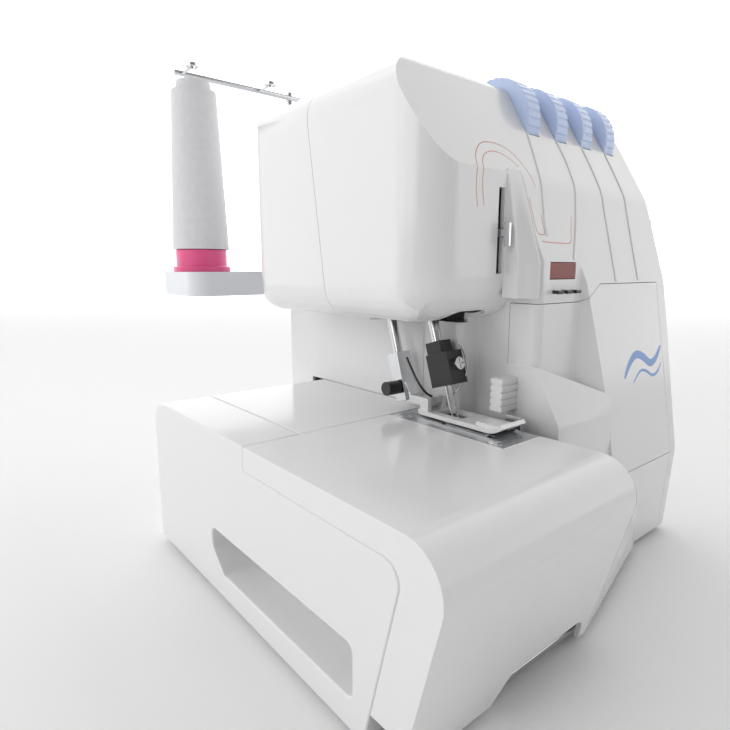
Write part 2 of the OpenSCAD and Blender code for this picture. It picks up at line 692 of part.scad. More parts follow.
holder_y = needle_y + 13;
foot_under = bed_top + 1;
module presser_bar() color("silver") on_presser_bar() {
    translate([0, 0, 33]) cylinder(h = 127, r = presser_r);
}
module presser_spring() color("dimgray") on_presser_bar() translate([0, 0, boss_low[1] + 4]) difference() {
    cylinder(h = boss_high[0] - boss_low[1] - 8, r = presser_r + 3.2);
    translate([0, 0, -1]) cylinder(h = 60, r = presser_r + 1.2);
}
module foot_holder() color("silver") {
    on_presser_bar() difference() {
        translate([-5.5, -4.6, 15]) cube([11, 9.2, 30]);
        translate([0, 0, 33]) cylinder(h = 40, r = presser_r);
    }
    difference() {
        along_x(presser_x - 4, presser_x + 4) polygon([[holder_y + 27, bed_top + 13],
            [holder_y + 18, bed_top + 5], [holder_y + 4, bed_top + 4.6], [holder_y - 3, bed_top + 7.4],
            [holder_y - 3, bed_top + 11.4], [holder_y + 4, bed_top + 10],
            [holder_y + 15, bed_top + 10], [holder_y + 22, bed_top + 19]]);
        rod_x(presser_x - 9, presser_x + 9, holder_y, bed_top + 8.4, 1 + shaft_fit);
    }
}
module presser_foot() color("whitesmoke") {
    x0 = needle_x - 11;
    difference() {
        along_x(x0, x0 + foot_w) polygon(concat(
            [[holder_y + 4, foot_under + 3.4], [holder_y + 4, foot_under + 0.6],
             [holder_y + 2, foot_under]],
            [for (a = [0 : 6 : 42]) [needle_y - 32 - 16 * sin(a), foot_under + 16 - 16 * cos(a)]],
            [for (a = [42 : -6 : 0]) [needle_y - 32 - 13.6 * sin(a), foot_under + 16 - 13.6 * cos(a)]],
            [[holder_y + 2, foot_under + 2.4]]));
        block([needle_x - 6, needle_y - 12, bed_top], [needle_x + 5.6, needle_y + 6, bed_top + 12]);
    }
    for (s = [-1, 1]) difference() {
        block([presser_x + s * 6 - 1.5, holder_y - 3, foot_under + 2.2],
              [presser_x + s * 6 + 1.5, holder_y + 3.2, bed_top + 11]);
        rod_x(presser_x - 9, presser_x + 9, holder_y, bed_top + 8.4, 1);
    }
    rod_x(presser_x - 7.4, presser_x + 7.4, holder_y, bed_top + 8.4, 1);
    block([x0 + 2, needle_y - 40, foot_under + 2.3], [x0 + foot_w - 8, needle_y - 24, foot_under + 4.2]);
}
module foot_release_knob() color("black") on_presser_bar() {
    translate([-16, 0, 24]) rotate([0, 90, 0]) cylinder(h = 9.5, r = 4.2, $fn = 40);
    translate([-8, 0, 24]) rotate([0, 90, 0]) cylinder(h = 2.5, r = 1.6, $fn = 32);
}
lifter_z = head_under + 42;
lifter_y = head_rear - 12;
module presser_lever() color("white") {
    difference() {
        union() {
            rod_x(presser_x - 6, presser_x + 6, lifter_y, lifter_z, 5);
            block([presser_x - 5, lifter_y - 2, lifter_z - 4],
                  [presser_x + 5, head_rear + 14, lifter_z + 2]);
            block([presser_x - 7, head_rear + 12, lifter_z - 12],
                  [presser_x + 7, head_rear + 17, lifter_z + 2]);
        }
        rod_x(presser_x - 7, presser_x + 7, lifter_y, lifter_z, 2 + shaft_fit);
    }
}

// Feed, loopers and knives

module feed_dogs() color("dimgray") {
    for (x = feed_x) difference() {
        union() {
            block([x - 1.5, feed_y0, bed_top - 10], [x + 1.5, feed_y1, bed_top]);
            for (y = [feed_y0 + 1 : 2 : feed_y1 - 1]) along_x(x - 1.5, x + 1.5)
                polygon([[y - 1, bed_top - 0.2], [y + 1, bed_top - 0.2], [y - 0.6, bed_top + 0.6]]);
        }
    }
    block([feed_x[0] - 1.5, feed_y0, bed_top - 14], [feed_x[1] + 1.5, feed_y0 + 6, bed_top - 10]);
}

looper_low = [-14, 44];
looper_high = [-14, 68];
module looper(pivot, y, rise, reach) {
    rod_y(y, y + 26, pivot[0], pivot[1], 3);
    difference() {
        rod_y(y - 6, y, pivot[0], pivot[1], 7);
        rod_y(y - 7, y + 1, pivot[0], pivot[1], 3);
    }
    rod_y(y - 6, y, pivot[0], pivot[1], 3);
    along_y(y - 5, y - 2) polygon([[pivot[0] - 5, pivot[1] - 3], [pivot[0] - reach, pivot[1] + rise - 12],
        [pivot[0] - reach - 1, pivot[1] + rise], [pivot[0] - reach + 3, pivot[1] + rise - 9],
        [pivot[0] - 5, pivot[1] + 3]]);
}
module lower_looper() color("silver") looper(looper_low, needle_y + 3, 34, 26);
module upper_looper() color("silver") looper(looper_high, needle_y - 12, 16, 18);

knife_y = [needle_y - 37, needle_y - 27];
module upper_knife() color("dimgray") {
    block([col_left + 3.4, knife_y[0], bed_top - 12], [col_left + 5.4, knife_y[1], bed_top + 6]);
    block([col_left + 3.4, knife_y[0] + 2, bed_top - 42], [col_left + 8, knife_y[1] - 2, bed_top - 12]);
}
module lower_knife() color("dimgray") {
    block([col_left + 0.6, knife_y[0], bed_top - 16], [col_left + 2.4, knife_y[1], bed_top - 0.4]);
    block([feed_x[1] + 4, knife_y[0], bed_top - 19], [col_left + 2.4, knife_y[1], bed_top - 16]);
}

// Tension dials and thread guides

module tension_shaft() color("silver")
    rod_x(dial_x0 - dial_t, dial_x0 + 3 * dial_pitch + 10, dial_y, dial_z, dial_shaft_r);
module tension_dial(k) color("lightsteelblue") {
    x = dial_x0 + k * dial_pitch;
    difference() {
        rod_x(x - dial_t / 2, x + dial_t / 2, dial_y, dial_z, dial_d / 2);
        rod_x(x - dial_t, x + dial_t, dial_y, dial_z, dial_shaft_r + shaft_fit);
        for (a = [0 : 10 : 350]) translate([0, dial_y, dial_z]) rotate([a, 0, 0])
            rod_x(x - dial_t / 2 - 1, x + dial_t / 2 + 1, 0, dial_d / 2 + 0.4, 1, $fn = 16);
    }
}
module tension_dial_1() tension_dial(0);
module tension_dial_2() tension_dial(1);
module tension_dial_3() tension_dial(2);
module tension_dial_4() tension_dial(3);
module tension_discs() color("silver") for (k = [0 : 3]) {
    x = dial_x0 + k * dial_pitch + dial_t / 2 + 1;
    for (s = [0, 1.6]) difference() {
        rod_x(x + s, x + s + 1, dial_y, dial_z, 10);
        rod_x(x - 2, x + 6, dial_y, dial_z, dial_shaft_r);
    }
}

module thread_guides() color("dimgray") {
    for (x = [-12, -3, 6]) {
        rod_y(recess_y - 4, recess_y, x, recess_seam_z + 6, 1);
        rod_x(x - 2.5, x + 2.5, recess_y - 4, recess_seam_z + 6, 1);
    }
}
module stitch_window() color("darkred")
    block([window_x0, recess_y + 0.4, window_z], [window_x1, recess_y + wall, window_z + 9]);

module side_knob() color("whitesmoke") {
    rod_x(col_right - 8, col_right + 10, nose_y + 84, 0.74 * body_h, 5.5);
    translate([col_right + 10, nose_y + 84, 0.74 * body_h]) sphere(r = 5.5, $fn = 48);
}
module stitch_length_dial() color("whitesmoke") {
    rod_x(col_right - 8, col_right + 1, shaft_y + 4, motor_z, 8);
    rod_x(col_right + 1, col_right + 10, shaft_y + 4, motor_z, 14);
}
module power_switch() color("dimgray")
    block([col_right - 8, motor_y - 8.6, motor_z + 22.4], [col_right + 2.5, motor_y + 8.6, motor_z + 35.6]);
module power_inlet() color("black") difference() {
    block([col_right - 12, motor_y - 12, motor_z - 20], [col_right + 1.2, motor_y + 12, motor_z + 16]);
    block([col_right - 9, motor_y - 8, motor_z - 14], [col_right + 2, motor_y + 8, motor_z + 10]);
}
module lamp() color("ivory") {
    rod_x(needle_x + 34, needle_x + 56, head_front + 30, head_under + wall + 12, 8);
}

// Spool stand

module spool_stand() color("gainsboro") {
    difference() {
        translate([0, 0, tray_z]) linear_extrude(tray_h)
            polygon(box_outline(tray_x0, col_rear + 0.1, tray_x1, stand_rear, 14));
        translate([0, 0, tray_z - 1]) linear_extrude(tray_h - 2)
            polygon(box_outline(tray_x0 + 3, col_rear + 3, tray_x1 - 3, stand_rear - 3, 11));
        rod_z(tray_z, tray_z + tray_h + 1, 0, pole_y, pole_d / 2 + 3);
        for (k = [0 : 3]) rod_z(tray_z, tray_z + tray_h + 1, cone_x + k * pin_pitch, cone_y, 3);
    }
}
module spool_pins() color("gray") for (k = [0 : 3])
    rod_z(tray_z + tray_h - 3, tray_z + tray_h + (k == 0 ? 16 : 62), cone_x + k * pin_pitch, cone_y, 3);
module cone_holder() color("hotpink") difference() {
    union() {
        rod_z(tray_z + tray_h, tray_z + tray_h + 4, cone_x, cone_y, 22);
        rod_z(tray_z + tray_h + 4, tray_z + tray_h + 17, cone_x, cone_y, cone_d / 2 - 2);
    }
    rod_z(tray_z, tray_z + tray_h + 18, cone_x, cone_y, 3);
}
module thread_cone() color("white") {
    z0 = tray_z + tray_h + 17 + seam;
    translate([cone_x, cone_y, z0]) cylinder(h = cone_h, d1 = cone_d, d2 = cone_d - 10);
    translate([cone_x, cone_y, z0 + cone_h]) cylinder(h = 7, r1 = 13.5, r2 = 12.4);
}
module tree_pole() color("silver") {
    z0 = tray_z + 2;
    difference() {
        union() {
            rod_z(z0, body_h + 20, 0, pole_y, pole_d / 2);
            rod_z(z0, tray_z + tray_h + 8, 0, pole_y, pole_d / 2 + 3);
        }
        rod_z(z0 + 3, body_h + 30, 0, pole_y, pole_d / 2 - 1);
    }
}
module tree_rod() color("silver") {
    rod_z(tray_z + 12, tree_z + 5, 0, pole_y, pole_d / 2 - 1 - shaft_fit);
    rod_x(cone_x - 6, -cone_x + 6, pole_y - 3, tree_z, 2);
    for (k = [0 : 3]) {
        block([cone_x + k * pin_pitch - 1.2, cone_y + 3, tree_z - 1],
              [cone_x + k * pin_pitch + 1.2, pole_y - 3, tree_z + 1]);
        difference() {
            rod_z(tree_z - 1, tree_z + 1, cone_x + k * pin_pitch, cone_y, 5);
            rod_z(tree_z - 2, tree_z + 2, cone_x + k * pin_pitch, cone_y, 3);
        }
    }
}
casing_screw_places = [[col_right - 30, 40], [col_right - 30, 120], [col_left + 12, 130]];
module casing_screws() color("silver") for (p = casing_screw_places) {
    rod_y(col_rear, col_rear + 1.8, p[0], p[1], 3.5);
}

base_plate();
rubber_feet();
rear_casing();
front_casing();
bed_cover();
bed_cover_hinge_pin();
free_arm();
extension_table();
front_skirt();
front_cover();
front_cover_hinge_pin();
needle_plate();
needle_plate_screws();
frame_casting();
shaft_bearings();
needle_bar_bushes();
presser_bar_bushes();
main_shaft();
handwheel();
shaft_pulley();
drive_belt();
motor();
motor_pulley();
needle_bar();
needle_clamp();
clamp_screws();
needles();
take_up_lever();
presser_bar();
presser_spring();
foot_holder();
presser_foot();
foot_release_knob();
presser_lever();
feed_dogs();
lower_looper();
upper_looper();
upper_knife();
lower_knife();
tension_shaft();
tension_dial_1();
tension_dial_2();
tension_dial_3();
tension_dial_4();
tension_discs();
thread_guides();
stitch_window();
side_knob();
stitch_length_dial();
power_switch();
power_inlet();
lamp();
spool_stand();
spool_pins();
cone_holder();
thread_cone();
tree_pole();
tree_rod();
casing_screws();
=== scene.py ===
# Serger overlock machine: looks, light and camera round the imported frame. Metres throughout.
import json
import math
import bpy
import bmesh
import numpy as np
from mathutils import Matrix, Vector


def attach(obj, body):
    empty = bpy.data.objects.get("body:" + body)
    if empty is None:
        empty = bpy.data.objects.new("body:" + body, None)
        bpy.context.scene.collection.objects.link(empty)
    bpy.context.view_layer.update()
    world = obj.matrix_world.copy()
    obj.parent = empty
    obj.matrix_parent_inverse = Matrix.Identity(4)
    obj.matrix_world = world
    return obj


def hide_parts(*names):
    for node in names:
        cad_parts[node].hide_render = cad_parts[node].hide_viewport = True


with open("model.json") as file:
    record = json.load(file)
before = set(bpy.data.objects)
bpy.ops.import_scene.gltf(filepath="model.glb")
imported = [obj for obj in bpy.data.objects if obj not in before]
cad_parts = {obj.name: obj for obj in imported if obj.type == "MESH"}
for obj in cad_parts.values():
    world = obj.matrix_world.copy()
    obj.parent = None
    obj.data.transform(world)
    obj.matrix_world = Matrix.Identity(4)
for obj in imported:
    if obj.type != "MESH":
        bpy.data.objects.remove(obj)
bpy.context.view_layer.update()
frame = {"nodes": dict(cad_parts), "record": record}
cadNodes = frame["nodes"]
mm = 0.001


class Field:
    # wraps one socket of a shader; + - and * on it each add a Math node
    def __init__(self, tree, socket):
        self.tree, self.socket = tree, socket

    def mathNode(self, operation, first, second=None):
        node = self.tree.nodes.new("ShaderNodeMath")
        node.operation = operation
        for slot, value in zip(node.inputs, (first, second)):
            if isinstance(value, Field):
                self.tree.links.new(value.socket, slot)
            elif value is not None:
                slot.default_value = value
        return Field(self.tree, node.outputs[0])

    def __add__(self, other):
        return self.mathNode("ADD", self, other)

    def __sub__(self, other):
        return self.mathNode("SUBTRACT", self, other)

    def __mul__(self, other):
        return self.mathNode("MULTIPLY", self, other)

    def sine(self):
        return self.mathNode("SINE", self)


class Finish:
    # one material with a Principled shader; node() adds any other node by type, settings, sockets
    def __init__(self, name, color, roughness, metallic=0.0, **fixed):
        self.material = bpy.data.materials.new(name)
        self.material.use_nodes = True
        self.tree = self.material.node_tree
        self.shader = self.tree.nodes["Principled BSDF"]
        self.shader.inputs["Base Color"].default_value = (*color, 1)
        self.shader.inputs["Roughness"].default_value = roughness
        self.shader.inputs["Metallic"].default_value = metallic
        for socket, value in fixed.items():
            self.shader.inputs[socket.replace("_", " ")].default_value = value
        self.material.diffuse_color = (*color, 1)
        self.place = self.node("ShaderNodeTexCoord", output="Object")

    def node(self, kind, settings=None, output=0, **sockets):
        made = self.tree.nodes.new(kind)
        for key, value in (settings or {}).items():
            if key == "stops":                          # a ramp's stops: (place, color)
                ramp = made.color_ramp
                while len(ramp.elements) < len(value):
                    ramp.elements.new(0.5)
                for element, (place, color) in zip(ramp.elements, value):
                    element.position, element.color = place, (*color, 1)
            else:
                setattr(made, key, value)
        for key, value in sockets.items():
            slot = made.inputs[int(key[1:])] if key[0] == "i" and key[1:].isdigit() \
                else made.inputs[key.replace("_", " ")]
            if isinstance(value, Field):
                self.tree.links.new(value.socket, slot)
            else:
                slot.default_value = value
        return Field(self.tree, made.outputs[output])

    def axis(self, which):
        split = self.tree.nodes.new("ShaderNodeSeparateXYZ")
        self.tree.links.new(self.place.socket, split.inputs[0])
        return Field(self.tree, split.outputs[which])

    def noise(self, scale, detail=3.0, stretch=None):
        where = self.place
        if stretch:
            where = self.node("ShaderNodeMapping", Vector=self.place, Scale=stretch)
        return self.node("ShaderNodeTexNoise", Vector=where, Scale=scale, Detail=detail)

    def feed(self, socket, value):
        self.tree.links.new(value.socket, self.shader.inputs[socket])

    def blendColors(self, mask, first, second):
        return self.node("ShaderNodeMix", {"data_type": "RGBA"}, output=2, i0=mask,
                         i6=(*first, 1) if isinstance(first, tuple) else first,
                         i7=(*second, 1) if isinstance(second, tuple) else second)

    def relief(self, height, strength, distance):
        self.feed("Normal", self.node("ShaderNodeBump", Strength=strength, Distance=distance,
                                      Height=height))


surface = {   # noise scales per metre, spread of the roughness, strength and depth of relief
    "cloud": 9.0, "polish": 55.0, "polishSpread": 0.10, "peel": 0.12, "depth": 0.0002,
    "streak": 60.0, "streakSpread": 0.22, "sand": 420.0, "sandSpread": 0.2, "sandPeel": 0.4,
    "sandDepth": 0.0004, "fuzz": 240.0, "fibre": 900.0, "fibreShare": 0.6, "threadPeel": 0.22,
}


def mouldedPlastic(name, color, shade, roughness, grain, coat):
    # gloss or satin plastic: cloudy colour, uneven polish and a fine orange peel
    finish = Finish(name, color, roughness, Coat_Weight=coat, Coat_Roughness=0.08,
                    Specular_IOR_Level=0.5)
    cloud = finish.noise(surface["cloud"], 4.0)
    spread = surface["polishSpread"]
    finish.feed("Base Color", finish.blendColors(cloud, color, shade))
    finish.feed("Roughness",
                finish.noise(surface["polish"], 2.0) * spread + (roughness - spread / 2))
    finish.relief(finish.noise(grain, 2.0), surface["peel"], surface["depth"])
    return finish.material


def workedMetal(name, color, shade, roughness, stretch, strength, metallic=1.0):
    # brushed or drawn metal: streaks along one axis in colour, polish and relief
    finish = Finish(name, color, roughness, metallic)
    streak = finish.noise(surface["streak"], 5.0, stretch)
    spread = surface["streakSpread"]
    finish.feed("Base Color", finish.blendColors(streak, color, shade))
    finish.feed("Roughness", streak * spread + (roughness - spread / 2))
    finish.relief(streak, strength, surface["depth"])
    return finish.material


def castMetal(name, color, shade, roughness):
    # sand-cast alloy: coarse grain under a thin tumble polish
    finish = Finish(name, color, roughness, 1.0)
    grain = finish.noise(surface["sand"], 4.0)
    spread = surface["sandSpread"]
    finish.feed("Base Color", finish.blendColors(grain, color, shade))
    finish.feed("Roughness", grain * spread + (roughness - spread / 2))
    finish.relief(grain, surface["sandPeel"], surface["sandDepth"])
    return finish.material


winding = {"turn": 9000.0, "cross": 9.0, "x": -0.1005, "y": 0.145}   # of the thread, in metres


def woundThread(name, color, shade):
    # thread on a cone: fine crossing windings in relief, a little fuzz in the colour
    finish = Finish(name, color, 0.85, Sheen_Weight=0.35, Sheen_Roughness=0.5)
    height = finish.axis(2)
    bearing = finish.node("ShaderNodeMath", {"operation": "ARCTAN2"},
                          i0=finish.axis(1) - winding["y"], i1=finish.axis(0) - winding["x"])
    wind = (height * winding["turn"] + bearing * winding["cross"]).sine()
    back = (height * winding["turn"] - bearing * winding["cross"]).sine()
    fuzz = finish.noise(surface["fuzz"], 4.0)
    fibre = finish.noise(surface["fibre"], 2.0)
    finish.feed("Base Color", finish.blendColors(fuzz, color, shade))
    finish.relief(wind * 0.5 + back * 0.5 + fibre * surface["fibreShare"],
                  surface["threadPeel"], surface["depth"])
    return finish.material


finishes = {
    "casing_white": mouldedPlastic("casingWhite", (0.87, 0.865, 0.865), (0.83, 0.83, 0.835),
                                   0.20, 700.0, 0.3),
    "cover_white": mouldedPlastic("coverWhite", (0.88, 0.875, 0.875), (0.84, 0.84, 0.845),
                                  0.20, 700.0, 0.3),
    "stand_grey": mouldedPlastic("standGrey", (0.85, 0.87, 0.90), (0.81, 0.84, 0.88),
                                 0.36, 900.0, 0.1),
    "dial_blue": mouldedPlastic("dialBlue", (0.54, 0.66, 0.95), (0.60, 0.71, 0.97),
                                0.28, 800.0, 0.25),
    "knob_white": mouldedPlastic("knobWhite", (0.84, 0.84, 0.84), (0.78, 0.79, 0.80),
                                 0.30, 900.0, 0.2),
    "cast_alloy": castMetal("castAlloy", (0.55, 0.56, 0.58), (0.44, 0.45, 0.47), 0.46),
    "plate_steel": workedMetal("plateSteel", (0.62, 0.63, 0.65), (0.50, 0.51, 0.53), 0.30,
                               (30.0, 1.0, 8.0), 0.10),
    "bright_steel": workedMetal("brightSteel", (0.78, 0.79, 0.80), (0.68, 0.69, 0.71), 0.18,
                                (6.0, 6.0, 1.0), 0.04),
    "pressed_steel": workedMetal("pressedSteel", (0.60, 0.61, 0.63), (0.50, 0.51, 0.53), 0.34,
                                 (1.0, 8.0, 8.0), 0.10),
    "bronze": castMetal("sinteredBronze", (0.52, 0.36, 0.17), (0.42, 0.28, 0.13), 0.42),
    "rubber": mouldedPlastic("footRubber", (0.035, 0.035, 0.037), (0.05, 0.05, 0.052),
                             0.72, 500.0, 0.0),
    "black_plastic": mouldedPlastic("blackPlastic", (0.02, 0.02, 0.021), (0.032, 0.032, 0.034),
                                    0.38, 900.0, 0.1),
    "black_clamp": mouldedPlastic("blackedSteel", (0.013, 0.013, 0.014), (0.02, 0.02, 0.021),
                                  0.36, 1200.0, 0.05),
    "motor_grey": mouldedPlastic("motorGrey", (0.18, 0.19, 0.20), (0.13, 0.14, 0.15),
                                 0.5, 600.0, 0.0),
    "window_red": mouldedPlastic("windowRed", (0.34, 0.035, 0.02), (0.16, 0.03, 0.03),
                                 0.35, 900.0, 0.05),
    "core_pink": mouldedPlastic("corePink", (0.93, 0.13, 0.34), (0.88, 0.10, 0.29),
                                0.34, 700.0, 0.15),
    "thread_white": woundThread("threadWhite", (0.86, 0.86, 0.87), (0.76, 0.76, 0.79)),
    "lamp_glass": mouldedPlastic("lampGlass", (0.85, 0.82, 0.72), (0.78, 0.76, 0.68),
                                 0.15, 900.0, 0.5),
}
footNickel = workedMetal("satinNickel", (0.90, 0.90, 0.89), (0.82, 0.82, 0.82), 0.46,
                         (1.0, 8.0, 8.0), 0.05, 0.3)
print("finishes:", len(finishes))


# The frame's nodes again as pieces with broken edges
slotOf = {part["node"]: part["material_slot"] for part in frame["record"]["subparts"]}
bodyOf = {node: body for body, nodes in frame["record"]["behaviour"]["bodies"].items()
          for node in nodes}


def cleanMesh(node, slices=(), near=None):
    # the node's triangles joined at their corners, flat faces merged, cut by planes near a box
    source = cadNodes[node].data
    work = bmesh.new()
    work.from_mesh(source)
    bmesh.ops.remove_doubles(work, verts=work.verts, dist=2e-6)
    bmesh.ops.dissolve_limit(work, angle_limit=math.radians(0.6), verts=work.verts,
                             edges=work.edges)
    for point, normal in slices:
        faces = [face for face in work.faces
                 if any(all(near[0][k] <= corner.co[k] <= near[1][k] for k in range(3))
                        for corner in face.verts)]
        edges = list({edge for face in faces for edge in face.edges})
        bmesh.ops.bisect_plane(work, geom=faces + edges, dist=1e-6, plane_co=point,
                               plane_no=normal)
    mesh = bpy.data.meshes.new(node + "Shape")
    work.to_mesh(mesh)
    work.free()
    return mesh


def addPiece(name, mesh, body, finish, stands=(), edge=0.0, segments=2, smooth=30.0):
    # puts a mesh in the scene: the material of the given finish, smoothing, an optional broken
    # edge, and its body
    piece = bpy.data.objects.new(name, mesh)
    bpy.context.scene.collection.objects.link(piece)
    mesh.materials.clear()
    mesh.materials.append(finishes[finish])
    mesh.polygons.foreach_set("use_smooth", np.ones(len(mesh.polygons), bool))
    mesh.set_sharp_from_angle(angle=math.radians(smooth))
    if edge:
        bevel = piece.modifiers.new("brokenEdge", "BEVEL")
        bevel.width, bevel.segments = edge * mm, segments
        bevel.limit_method, bevel.angle_limit = "ANGLE", math.radians(32)
        bevel.use_clamp_overlap = True
        bevel.miter_outer = "MITER_ARC"
    weigh = piece.modifiers.new("flatShading", "WEIGHTED_NORMAL")
    weigh.keep_sharp = True
    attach(piece, body)
    for node in stands:
        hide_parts(node)
    return piece


def paint(piece, finish):
    # another finish than the slot's own
    piece.data.materials.clear()
    piece.data.materials.append(finish)


def refine(node, edge, segments=2, slices=(), near=None, reshape=None, smooth=30.0):
    # the CAD node again, with its edges broken; reshape moves all points as one array
    mesh = cleanMesh(node, slices, near)
    if reshape:
        points = np.empty(len(mesh.vertices) * 3)
        mesh.vertices.foreach_get("co", points)
        mesh.vertices.foreach_set("co", reshape(points.reshape(-1, 3)).ravel())
        mesh.update()
    return addPiece(node + "Piece", mesh, bodyOf[node], slotOf[node], (node,), edge, segments,
                    smooth)


edgeWidths = {   # mm of broken edge on each node's piece
    "rear_casing": 0.7, "front_casing": 0.7, "bed_cover": 0.8, "free_arm": 0.5,
    "extension_table": 0.8, "front_skirt": 0.5, "front_cover": 0.7, "needle_plate": 0.25,
    "frame_casting": 0.8, "handwheel": 0.8, "needle_clamp": 0.45, "foot_holder": 0.35,
    "presser_foot": 0.25, "presser_lever": 0.5, "feed_dogs": 0.1, "lower_looper": 0.3,
    "upper_looper": 0.3, "upper_knife": 0.15, "lower_knife": 0.1, "tension_dial_1": 0.4,
    "tension_dial_2": 0.4, "tension_dial_3": 0.4, "tension_dial_4": 0.4,
    "stitch_window": 0.3, "stitch_length_dial": 0.5, "power_switch": 0.4, "power_inlet": 0.4,
    "spool_stand": 1.2, "cone_holder": 0.6, "take_up_lever": 0.4, "rubber_feet": 0.6,
    "base_plate": 0.4, "motor": 0.8, "shaft_pulley": 0.4, "main_shaft": 0.4, "side_knob": 0.5,
    "foot_release_knob": 0.3, "tree_pole": 0.3, "tree_rod": 0.3, "casing_screws": 0.15,
    "clamp_screws": 0.12, "needle_plate_screws": 0.1, "lamp": 0.5, "spool_pins": 0.3,
    "needle_bar": 0.3, "presser_bar": 0.3,
}
headCorner = {   # mm: the head's faces at its lower left corners, and their common radius
    "left": -95.0, "front": -100.0, "rear": 75.8, "under": 155.0, "radius": 24.0, "cuts": 6,
}


def cornerSpots():
    # the head's two lower left corners: centre of the ball and the signs that point outwards
    c = headCorner
    return [(np.array([c["left"] + c["radius"], y, c["under"] + c["radius"]]) * mm,
             np.array([-1.0, side, -1.0]))
            for y, side in ((c["front"] + c["radius"], -1.0), (c["rear"] - c["radius"], 1.0))]


def ballCorners(points):
    # where three rounded edges meet in a mitre, the offset from the ball's centre is scaled by
    # (largest norm of its component pairs) / (its own norm), which turns the mitre into a ball
    points = points.copy()
    for centre, signs in cornerSpots():
        offset = (points - centre) * signs
        inside = np.all(offset > 0, axis=1)
        x, y, z = offset[inside].T
        widest = np.maximum.reduce([np.hypot(x, y), np.hypot(y, z), np.hypot(x, z)])
        scale = widest / np.maximum(np.linalg.norm(offset[inside], axis=1), 1e-9)
        points[inside] = centre + offset[inside] * scale[:, None] * signs
    return points


def headCuts():
    # planes through the head's lower corners, evenly spaced in angle round each ball
    angles = np.linspace(0, math.pi / 2, headCorner["cuts"] + 1)[:-1]
    reach = headCorner["radius"] * mm * np.sin(angles)
    return [(tuple(centre + signs * step), normal) for centre, signs in cornerSpots()
            for step in reach for normal in ((1, 0, 0), (0, 1, 0), (0, 0, 1))]


headBox = ((-0.0955, -0.1005, 0.1545), (-0.068, 0.0765, 0.182))   # where the cuts apply
for name, width in edgeWidths.items():
    isHead = name in ("rear_casing", "front_casing")
    made = refine(name, width, slices=headCuts() if isHead else (), near=headBox,
                  reshape=ballCorners if isHead else None)
    if name == "presser_foot":
        paint(made, footNickel)
print("refined nodes:", len(edgeWidths))

for name, shown in cadNodes.items():                   # the rest keep their own mesh
    shown.data.materials.clear()
    shown.data.materials.append(finishes[slotOf[name]])


# Lines and trims that lie on the casings
frontView = {   # side view of the column's front, (z, y, corner radius), and the plan's steps
    "side": [(3.5, -134.0, 0), (60.7, -137.8, 20), (174.0, -118.5, 30), (228.9, -101.8, 40),
             (289.0, -66.8, 0)],
    "planX": [-95.0, -24.9, -24.8, 14.0, 27.5, 27.6],
    "planY": [-100.0, -100.0, -115.0, -115.0, -131.0, -200.0],
}


def filletedLine(corners, steps=9):
    # polyline with each corner replaced by the arc of its radius, tangent to both sides
    line = [np.array(corners[0][:2])]
    for before, here, after in zip(corners, corners[1:], corners[2:]):
        a, b, c = (np.array(point[:2]) for point in (before, here, after))
        u, v = (a - b) / np.linalg.norm(a - b), (c - b) / np.linalg.norm(c - b)
        half = math.acos(np.clip(u @ v, -1, 1)) / 2
        t = np.linspace(0, 1, steps)[:, None]
        start, end = b + u * here[2] / math.tan(half), b + v * here[2] / math.tan(half)
        line.extend((1 - t) ** 2 * start + 2 * t * (1 - t) * b + t ** 2 * end)
    line.append(np.array(corners[-1][:2]))
    return np.array(line)


sideLine = filletedLine(frontView["side"])


def frontY(x, z):
    # the front's y at (x, z): the rearmost of the side view and the plan
    return np.maximum(np.interp(z, sideLine[:, 0], sideLine[:, 1]),
                      np.interp(x, frontView["planX"], frontView["planY"]))


def softPath(points, rounds=4):
    # corner cutting: each leg is replaced by its quarter points, so the path turns smoothly
    path = np.array(points, float)
    for _ in range(rounds):
        legs = np.stack([path[:-1] * 0.75 + path[1:] * 0.25, path[:-1] * 0.25 + path[1:] * 0.75])
        path = np.concatenate([path[:1], legs.transpose(1, 0, 2).reshape(-1, path.shape[1]),
                               path[-1:]])
    return path


def bandMesh(name, path, across, outward, halfWidth, halfHeight, around=10):
    # closed band along a path: each ring is across*w*cos(a) + outward*h*sin(a), in mm
    angle = np.linspace(0, 2 * math.pi, around, endpoint=False)
    w = np.broadcast_to(halfWidth, len(path))[:, None, None]
    h = np.broadcast_to(halfHeight, len(path))[:, None, None]
    rings = (path[:, None, :] + across[:, None, :] * w * np.cos(angle)[None, :, None]
             + outward[:, None, :] * h * np.sin(angle)[None, :, None]) * mm
    return ringMesh(name, rings)


def ringMesh(name, rings):
    # quads between neighbouring rings of points, and a flat face on each end
    count, around = rings.shape[:2]
    row, column = np.meshgrid(np.arange(count - 1), np.arange(around), indexing="ij")
    beside = (column + 1) % around
    quads = np.stack([row * around + column, row * around + beside,
                      (row + 1) * around + beside, (row + 1) * around + column], -1)
    faces = quads.reshape(-1, 4).tolist() + [
        list(range(around))[::-1], list(range((count - 1) * around, count * around))]
    mesh = bpy.data.meshes.new(name)
    mesh.from_pydata(rings.reshape(-1, 3), [], faces)
    return outwardFaces(mesh)


def outwardFaces(mesh):
    # doubles merged, then normals recalculated to point outwards
    work = bmesh.new()
    work.from_mesh(mesh)
    bmesh.ops.remove_doubles(work, verts=work.verts, dist=1e-7)
    bmesh.ops.recalc_face_normals(work, faces=work.faces)
    work.to_mesh(mesh)
    work.free()
    return mesh


